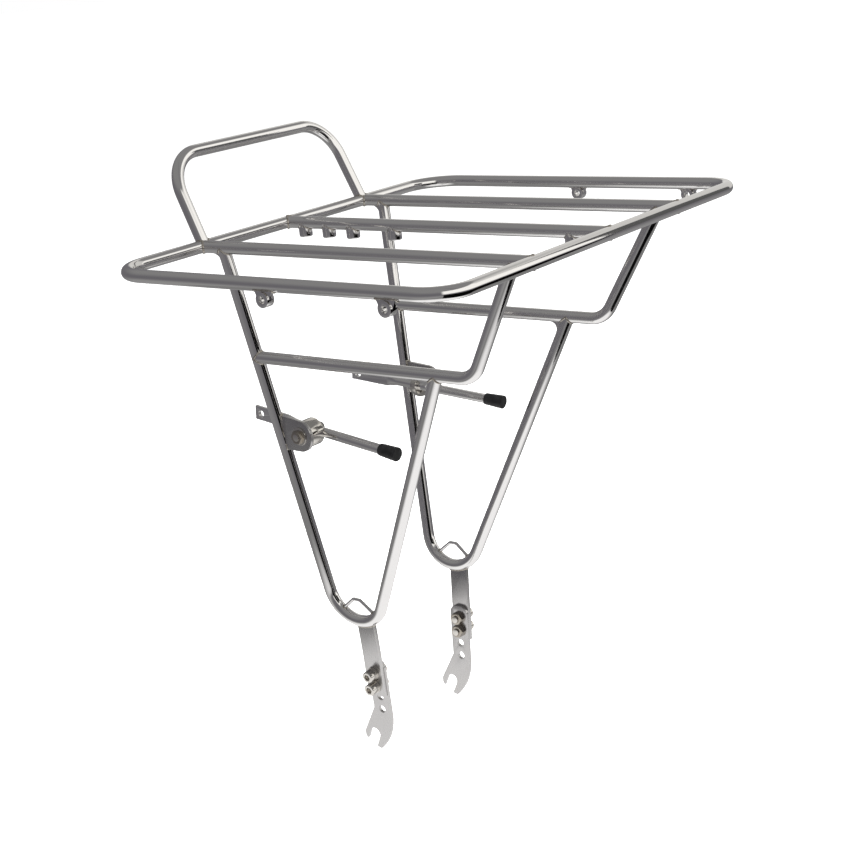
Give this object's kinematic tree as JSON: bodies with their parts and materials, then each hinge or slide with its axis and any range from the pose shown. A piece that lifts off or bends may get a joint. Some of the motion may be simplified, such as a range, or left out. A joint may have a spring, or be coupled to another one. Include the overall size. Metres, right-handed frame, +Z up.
{
  "type": "front cargo rack",
  "caption": "Bicycle front cargo rack: flat tube platform with a rear hoop, splayed leg loops, slotted axle plates and sliding fork stays.",
  "frame": {"origin": "middle of the front axle, which is the middle of the two dropout plate notches", "axes": "+X forward, +Y to the rider's left, +Z up; the XZ plane is the middle of the rack"},
  "size_m": [0.3525, 0.4088, 0.5141],
  "materials": {
    "polished_steel": "polished stainless tube, mirror bright",
    "brushed_plate": "flat stainless strip, satin to softly polished",
    "fastener_steel": "turned stainless hardware, bright",
    "clamp_nut_steel": "hex nuts, darker plated steel",
    "black_rubber": "moulded black rubber, matt"
  },
  "bodies": {
    "frame": {"platform_loop": "polished_steel", "rail_left": "polished_steel", "rail_centre": "polished_steel", "rail_right": "polished_steel", "rear_hoop": "polished_steel", "crown_boss": "polished_steel", "lamp_boss": "polished_steel", "rail_boss_1": "polished_steel", "rail_boss_2": "polished_steel", "rail_boss_3": "polished_steel", "leg_left": "polished_steel", "leg_right": "polished_steel", "side_rail_left": "polished_steel", "side_rail_right": "polished_steel", "rear_gusset_left": "polished_steel", "rear_gusset_right": "polished_steel", "front_gusset_left": "polished_steel", "front_gusset_right": "polished_steel", "strap_eye_rear_left": "polished_steel", "strap_eye_rear_right": "polished_steel", "strap_eye_front_left": "polished_steel", "strap_eye_front_right": "polished_steel", "strap_hook_left": "brushed_plate", "strap_hook_right": "brushed_plate", "foot_bar_left": "brushed_plate", "foot_bar_right": "brushed_plate", "dropout_plate_left": "brushed_plate", "dropout_plate_right": "brushed_plate", "plate_screws_left": "fastener_steel", "plate_screws_right": "fastener_steel", "plate_washers_left": "fastener_steel", "plate_washers_right": "fastener_steel", "plate_spring_washers_left": "fastener_steel", "plate_spring_washers_right": "fastener_steel", "plate_nuts_left": "clamp_nut_steel", "plate_nuts_right": "clamp_nut_steel", "clamp_bracket_left": "brushed_plate", "clamp_bracket_right": "brushed_plate"},
    "clamp_left": {"eye_bolt_left": "fastener_steel", "clamp_collar_left": "fastener_steel", "clamp_washer_left": "fastener_steel", "clamp_nut_left": "clamp_nut_steel"},
    "clamp_right": {"eye_bolt_right": "fastener_steel", "clamp_collar_right": "fastener_steel", "clamp_washer_right": "fastener_steel", "clamp_nut_right": "clamp_nut_steel"},
    "stay_rod_left": {"stay_left": "polished_steel", "stay_cap_left": "black_rubber"},
    "stay_rod_right": {"stay_right": "polished_steel", "stay_cap_right": "black_rubber"}
  },
  "joints": [
    {"name": "clamp_swivel_left", "type": "hinge", "parent": "frame", "child": "clamp_left", "pos_m": [-0.0167, 0.08424, 0.2731], "axis": [-0.0619, 0.9981, 0], "range_deg": [-25, 40]},
    {"name": "stay_slide_left", "type": "slide", "parent": "clamp_left", "child": "stay_rod_left", "axis": [0.9928, 0.0616, -0.1028], "range_m": [-0.057, 0.008]},
    {"name": "clamp_swivel_right", "type": "hinge", "parent": "frame", "child": "clamp_right", "pos_m": [-0.0167, -0.08424, 0.2731], "axis": [0.0619, 0.9981, 0], "range_deg": [-25, 40]},
    {"name": "stay_slide_right", "type": "slide", "parent": "clamp_right", "child": "stay_rod_right", "axis": [0.9928, -0.0616, -0.1028], "range_m": [-0.057, 0.008]}
  ]
}
